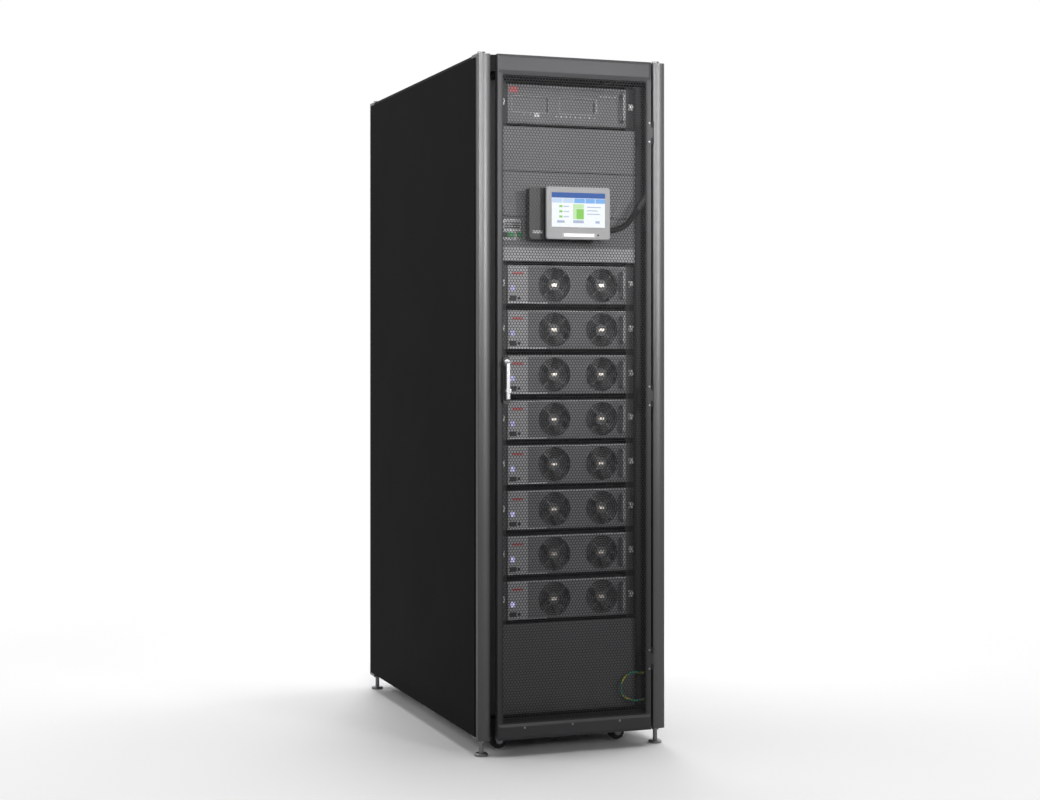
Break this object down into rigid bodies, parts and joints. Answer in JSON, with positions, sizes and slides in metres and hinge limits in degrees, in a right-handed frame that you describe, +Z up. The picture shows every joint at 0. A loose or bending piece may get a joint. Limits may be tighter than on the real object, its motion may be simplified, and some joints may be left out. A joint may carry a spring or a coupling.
{
  "type": "modular ups cabinet",
  "caption": "Black modular UPS cabinet with a perforated front door, touch display, swing handle, stacked power modules, casters and levelling feet.",
  "frame": {"origin": "on the floor, under the middle of the cabinet", "axes": "+Z up, -Y towards the front door, +X to the right seen from the front"},
  "size_m": [0.6, 1.29, 2.056],
  "materials": {
    "frame_paint": "satin",
    "panel_paint": "matte",
    "door_paint": "satin",
    "mesh_steel": "satin",
    "inner_steel": "matte",
    "module_paint": "matte",
    "blank_paint": "matte",
    "guard_steel": "satin",
    "fan_plastic": "matte",
    "zinc_steel": "satin",
    "wheel_rubber": "matte",
    "display_bezel": "satin",
    "display_black": "matte",
    "screen_glass": "gloss",
    "handle_chrome": "polished",
    "handle_zinc": "satin",
    "bonding_wire": "satin"
  },
  "bodies": {
    "cabinet": {"front_posts": "frame_paint", "rear_posts": "frame_paint", "top_cross_rails": "frame_paint", "top_side_rails": "frame_paint", "base_cross_rails": "frame_paint", "base_side_rails": "frame_paint", "left_side_panel": "panel_paint", "right_side_panel": "panel_paint", "roof_panel": "panel_paint", "floor_panel": "panel_paint", "rear_cover_panel": "panel_paint", "rear_door_frame": "door_paint", "rear_door_mesh": "mesh_steel", "mounting_rails": "inner_steel", "module_cage_sides": "inner_steel", "module_shelves": "inner_steel", "caster_bearers": "inner_steel", "hinge_brackets": "inner_steel", "power_module_1": "module_paint", "power_module_2": "module_paint", "power_module_3": "module_paint", "power_module_4": "module_paint", "power_module_5": "module_paint", "power_module_6": "module_paint", "power_module_7": "module_paint", "power_module_8": "module_paint", "bypass_module": "module_paint", "monitor_unit": "module_paint", "upper_blank_panel": "blank_paint", "middle_blank_panel": "blank_paint", "lower_blank_panel": "blank_paint", "module_fan_guards": "guard_steel", "module_fan_rotors": "fan_plastic", "module_handles": "fan_plastic", "roof_bolts": "zinc_steel", "levelling_feet": "zinc_steel", "caster_plates": "zinc_steel", "bonding_lug": "zinc_steel", "rear_door_handle": "handle_zinc", "bonding_wire": "bonding_wire"},
    "front_door": {"front_door_frame": "door_paint", "front_door_mesh": "mesh_steel", "display_housing": "display_bezel", "display_rear_box": "display_black", "display_screen": "screen_glass", "display_cable": "display_black", "handle_base": "handle_zinc"},
    "handle_swivel": {"handle_swivel": "handle_chrome"},
    "handle_lever": {"handle_lever": "handle_chrome"},
    "caster_fork_1": {"caster_fork_1": "zinc_steel"},
    "caster_wheel_1": {"caster_wheel_1": "wheel_rubber"},
    "caster_fork_2": {"caster_fork_2": "zinc_steel"},
    "caster_wheel_2": {"caster_wheel_2": "wheel_rubber"},
    "caster_fork_3": {"caster_fork_3": "zinc_steel"},
    "caster_wheel_3": {"caster_wheel_3": "wheel_rubber"},
    "caster_fork_4": {"caster_fork_4": "zinc_steel"},
    "caster_wheel_4": {"caster_wheel_4": "wheel_rubber"}
  },
  "joints": [
    {"name": "front_door_hinge", "type": "hinge", "parent": "cabinet", "child": "front_door", "pos_m": [0.25, -0.61, 1.048], "axis": [0, 0, 1], "range_deg": [0, 120]},
    {"name": "handle_turn", "type": "hinge", "parent": "front_door", "child": "handle_swivel", "pos_m": [-0.218, -0.626, 1.147], "axis": [0, -1, 0], "range_deg": [0, 90]},
    {"name": "handle_lift", "type": "hinge", "parent": "handle_swivel", "child": "handle_lever", "pos_m": [-0.218, -0.63905, 1.147], "axis": [-1, 0, 0], "range_deg": [0, 45]},
    {"name": "caster_1_swivel", "type": "hinge", "parent": "cabinet", "child": "caster_fork_1", "pos_m": [-0.19, -0.5, 0.0635], "axis": [0, 0, 1], "continuous": true},
    {"name": "caster_1_roll", "type": "hinge", "parent": "caster_fork_1", "child": "caster_wheel_1", "pos_m": [-0.202, -0.5, 0.028], "axis": [0, 1, 0], "continuous": true},
    {"name": "caster_2_swivel", "type": "hinge", "parent": "cabinet", "child": "caster_fork_2", "pos_m": [0.19, -0.5, 0.0635], "axis": [0, 0, 1], "continuous": true},
    {"name": "caster_2_roll", "type": "hinge", "parent": "caster_fork_2", "child": "caster_wheel_2", "pos_m": [0.178, -0.5, 0.028], "axis": [0, 1, 0], "continuous": true},
    {"name": "caster_3_swivel", "type": "hinge", "parent": "cabinet", "child": "caster_fork_3", "pos_m": [-0.19, 0.5, 0.0635], "axis": [0, 0, 1], "continuous": true},
    {"name": "caster_3_roll", "type": "hinge", "parent": "caster_fork_3", "child": "caster_wheel_3", "pos_m": [-0.202, 0.5, 0.028], "axis": [0, 1, 0], "continuous": true},
    {"name": "caster_4_swivel", "type": "hinge", "parent": "cabinet", "child": "caster_fork_4", "pos_m": [0.19, 0.5, 0.0635], "axis": [0, 0, 1], "continuous": true},
    {"name": "caster_4_roll", "type": "hinge", "parent": "caster_fork_4", "child": "caster_wheel_4", "pos_m": [0.178, 0.5, 0.028], "axis": [0, 1, 0], "continuous": true}
  ]
}
